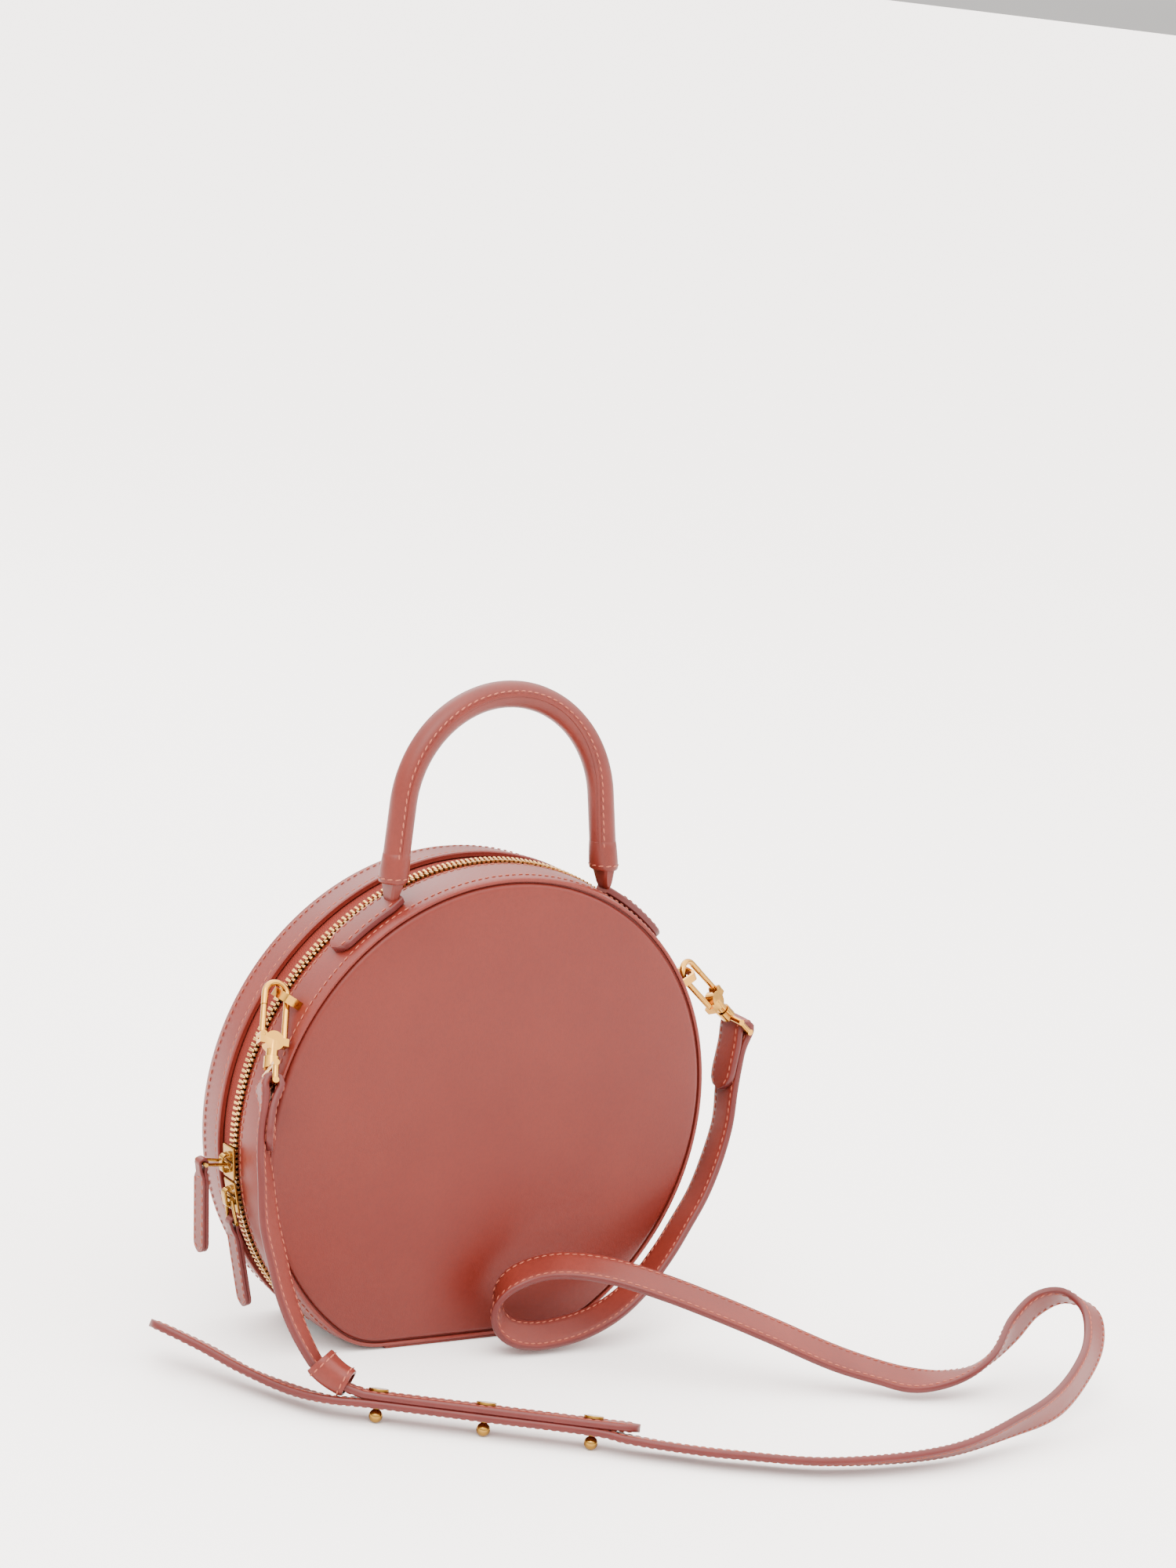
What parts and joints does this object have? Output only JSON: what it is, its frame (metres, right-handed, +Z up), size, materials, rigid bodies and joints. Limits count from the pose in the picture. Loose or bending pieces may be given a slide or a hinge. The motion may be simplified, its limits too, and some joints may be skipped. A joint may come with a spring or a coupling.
{
  "type": "round leather handbag",
  "caption": "Round rose-brown leather bag with a rolled top handle, a gold two-way zip around its edge and a long detachable strap lying in front.",
  "frame": {"origin": "middle of the underside of the base strip, on the floor", "axes": "+X to the bag's right as seen from the front, +Y from its front panel to its back panel, +Z up"},
  "size_m": [0.3864, 0.2339, 0.2755],
  "materials": {
    "leather": "semi-matte smooth calf with a soft sheen",
    "strap_leather": "semi-matte smooth calf with painted edges",
    "edge_paint": "matte painted leather",
    "board": "matte stiffening board",
    "suede": "napped suede lining",
    "tape": "woven herringbone zip tape",
    "zip_metal": "polished yellow brass",
    "pale_gold": "polished pale gold plating",
    "plate_metal": "plain backing plate",
    "core_cord": "twisted cord filler"
  },
  "bodies": {
    "shell": {"front_panel": "leather", "front_board": "board", "front_gusset": "leather", "front_lining": "suede", "base_strip": "leather", "zip_tape_front": "tape", "zip_teeth_front": "zip_metal", "zip_stops": "zip_metal", "handle_tab_left": "leather", "handle_tab_right": "leather", "hoop_left": "pale_gold", "hoop_right": "pale_gold", "hoop_plates": "plate_metal", "ring_left": "pale_gold", "ring_right": "pale_gold", "strap_short": "strap_leather", "strap_long": "strap_leather", "keeper": "strap_leather", "studs": "zip_metal"},
    "lid": {"back_panel": "leather", "back_board": "board", "back_band": "leather", "back_lining": "suede", "zip_tape_back": "tape", "zip_teeth_back": "zip_metal"},
    "handle": {"handle_roll": "leather", "handle_core": "core_cord", "handle_cuffs": "leather", "handle_necks": "edge_paint"},
    "upper_slider_body": {"upper_slider": "zip_metal"},
    "upper_link_body": {"upper_link": "zip_metal"},
    "upper_tab_body": {"upper_tab": "leather"},
    "lower_slider_body": {"lower_slider": "zip_metal"},
    "lower_link_body": {"lower_link": "zip_metal"},
    "lower_tab_body": {"lower_tab": "leather"},
    "left_hook": {"hook_left": "pale_gold", "gate_pin_left": "pale_gold"},
    "left_gate": {"gate_left": "pale_gold"},
    "right_hook": {"hook_right": "pale_gold", "gate_pin_right": "pale_gold"},
    "right_gate": {"gate_right": "pale_gold"}
  },
  "joints": [
    {"name": "lid_hinge", "type": "hinge", "parent": "shell", "child": "lid", "pos_m": [0, 0.0265, 0.0015], "axis": [-1, 0, 0], "range_deg": [0, 88]},
    {"name": "handle_tilt", "type": "hinge", "parent": "shell", "child": "handle", "pos_m": [0, -0.0153, 0.18943], "axis": [1, 0, 0], "range_deg": [-45, 45]},
    {"name": "upper_slide", "type": "hinge", "parent": "shell", "child": "upper_slider_body", "pos_m": [0, -0.0037, 0.093], "axis": [0, 1, 0], "range_deg": [0, 233]},
    {"name": "lower_slide", "type": "hinge", "parent": "shell", "child": "lower_slider_body", "pos_m": [0, -0.0037, 0.093], "axis": [0, -1, 0], "range_deg": [0, 29]},
    {"name": "upper_link_swing", "type": "hinge", "parent": "upper_slider_body", "child": "upper_link_body", "pos_m": [-0.10918, -0.0037, 0.07766], "axis": [0, 1, 0], "range_deg": [0, 25]},
    {"name": "upper_tab_swing", "type": "hinge", "parent": "upper_link_body", "child": "upper_tab_body", "pos_m": [-0.12014, -0.0037, 0.07861], "axis": [0, 1, 0], "range_deg": [-8, 90]},
    {"name": "lower_link_swing", "type": "hinge", "parent": "lower_slider_body", "child": "lower_link_body", "pos_m": [-0.10614, -0.0037, 0.06317], "axis": [0, 1, 0], "range_deg": [0, 4]},
    {"name": "lower_tab_swing", "type": "hinge", "parent": "lower_link_body", "child": "lower_tab_body", "pos_m": [-0.10316, -0.0037, 0.05258], "axis": [0, 1, 0], "range_deg": [0, 6]},
    {"name": "left_swivel", "type": "hinge", "parent": "shell", "child": "left_hook", "pos_m": [-0.09951, -0.012, 0.15045], "axis": [0.2708, 0.5264, 0.806], "range_deg": [-12, 12]},
    {"name": "right_swivel", "type": "hinge", "parent": "shell", "child": "right_hook", "pos_m": [0.09951, -0.0126, 0.15045], "axis": [-0.7603, -0.0003, 0.6496], "range_deg": [-10, 10]},
    {"name": "left_gate_swing", "type": "hinge", "parent": "left_hook", "child": "left_gate", "pos_m": [-0.10916, -0.02097, 0.13598], "axis": [0.0829, 0.8214, -0.5643], "range_deg": [0, 20], "stiffness_Nm_per_rad": 0.02},
    {"name": "right_gate_swing", "type": "hinge", "parent": "right_hook", "child": "right_gate", "pos_m": [0.1166, -0.01025, 0.1412], "axis": [0.3247, -0.8663, 0.3796], "range_deg": [0, 20], "stiffness_Nm_per_rad": 0.02}
  ]
}
